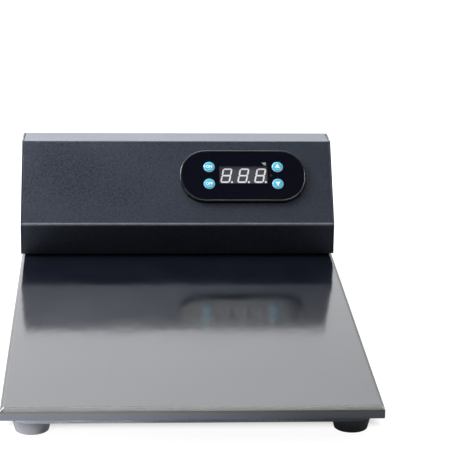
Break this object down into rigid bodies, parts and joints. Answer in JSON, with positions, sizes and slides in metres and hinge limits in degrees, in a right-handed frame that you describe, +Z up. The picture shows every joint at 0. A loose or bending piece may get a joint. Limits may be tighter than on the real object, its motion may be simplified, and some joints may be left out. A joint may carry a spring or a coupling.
{
  "type": "digital heating station",
  "caption": "Digital heating station: a flat heated metal plate on rubber feet with a sloped control box at its rear carrying an oval thermostat, keys, a power inlet and a switch.",
  "frame": {"origin": "on the ground, at the middle of the footprint", "axes": "+Z up, -Y towards the front edge of the plate, where the user stands, +X to the user's right"},
  "size_m": [0.2418, 0.388, 0.1],
  "materials": {
    "plate": "dark glossy coating, with milled sides and chamfer",
    "pan_paint": "slate grey paint, satin",
    "zinc": "bright zinc plate",
    "silicone": "woven silicone, satin",
    "fibre": "pressed ceramic fibre",
    "foot_rubber": "dark grey rubber",
    "probe_steel": "drawn stainless tube",
    "bakelite": "moulded phenolic with plated tabs",
    "gasket": "dark silicone sheet",
    "floor_steel": "galvanised sheet",
    "cover_paint": "charcoal powder coat with a fine texture",
    "black_screw": "black oxide",
    "inlet_plastic": "glass-filled nylon, fine texture",
    "brass": "nickel-washed brass",
    "fuse_glass": "clear glass",
    "rocker_plastic": "translucent red, gloss",
    "bezel_plastic": "black, satin gloss",
    "film": "black film, high gloss",
    "window": "smoked clear",
    "display_grey": "dark grey display face",
    "segment": "white diffuser",
    "status": "pale red lens, unlit",
    "button_blue": "sky blue, gloss",
    "mark_white": "white print",
    "switch_plastic": "black moulding",
    "board_green": "solder mask",
    "case_plastic": "black ABS",
    "lamination": "varnished laminations",
    "coil_tape": "yellow polyester tape",
    "relay_blue": "blue moulding",
    "capacitor_sleeve": "shrunk sleeve",
    "block_green": "green nylon",
    "lead_white": "glass-braided sleeve",
    "lead_grey": "PVC insulation",
    "lead_brown": "PVC insulation"
  },
  "bodies": {
    "station": {"heating_plate": "plate", "base_pan": "pan_paint", "pan_spacers": "zinc", "pan_screws": "zinc", "heater_mat": "silicone", "insulation_pad": "fibre", "foot_front_left": "foot_rubber", "foot_front_right": "foot_rubber", "foot_rear_left": "foot_rubber", "foot_rear_right": "foot_rubber", "foot_screws": "zinc", "foot_nuts": "zinc", "temperature_probe": "probe_steel", "thermal_cutout": "bakelite", "cutout_screws": "zinc", "box_gasket": "gasket", "box_floor": "floor_steel", "floor_screws": "zinc", "control_cover": "cover_paint", "cover_screws": "black_screw", "rear_panel": "cover_paint", "rear_screws": "black_screw", "lead_grommet": "foot_rubber", "inlet_body": "inlet_plastic", "inlet_blades": "brass", "inlet_screws": "black_screw", "inlet_nuts": "zinc", "bezel": "bezel_plastic", "front_film": "film", "display_window": "window", "display_module": "display_grey", "display_segments": "segment", "status_light": "status", "tactile_switches": "switch_plastic", "display_board": "board_green", "case_shell": "case_plastic", "mounting_clips": "zinc", "power_board": "board_green", "board_standoffs": "brass", "board_screws": "zinc", "transformer_core": "lamination", "transformer_coil": "coil_tape", "relay": "relay_blue", "capacitor": "capacitor_sleeve", "terminal_block": "block_green", "earth_stud": "brass", "heater_leads": "lead_white", "probe_lead": "lead_grey", "mains_leads": "lead_brown", "display_leads": "lead_grey"},
    "fuse_drawer": {"fuse_drawer": "inlet_plastic", "fuse_tubes": "fuse_glass", "fuse_caps": "zinc"},
    "power_rocker": {"power_rocker": "rocker_plastic"},
    "upper_left_button": {"button_upper_left": "button_blue"},
    "lower_left_button": {"button_lower_left": "button_blue"},
    "raise_button": {"button_raise": "button_blue", "mark_raise": "mark_white"},
    "lower_button": {"button_lower": "button_blue", "mark_lower": "mark_white"}
  },
  "joints": [
    {"name": "upper_left_button_press", "type": "slide", "parent": "station", "child": "upper_left_button", "axis": [0, 0.7552, -0.6555], "range_m": [0, 0.0008], "stiffness_N_per_m": 2000},
    {"name": "lower_left_button_press", "type": "slide", "parent": "station", "child": "lower_left_button", "axis": [0, 0.7552, -0.6555], "range_m": [0, 0.0008], "stiffness_N_per_m": 2000},
    {"name": "raise_button_press", "type": "slide", "parent": "station", "child": "raise_button", "axis": [0, 0.7552, -0.6555], "range_m": [0, 0.0008], "stiffness_N_per_m": 2000},
    {"name": "lower_button_press", "type": "slide", "parent": "station", "child": "lower_button", "axis": [0, 0.7552, -0.6555], "range_m": [0, 0.0008], "stiffness_N_per_m": 2000},
    {"name": "fuse_drawer_slide", "type": "slide", "parent": "station", "child": "fuse_drawer", "axis": [0, 1, 0], "range_m": [0, 0.016]},
    {"name": "power_rocker_tilt", "type": "hinge", "parent": "station", "child": "power_rocker", "pos_m": [-0.075, 0.1878, 0.0737], "axis": [1, 0, 0], "range_deg": [0, 18]}
  ]
}
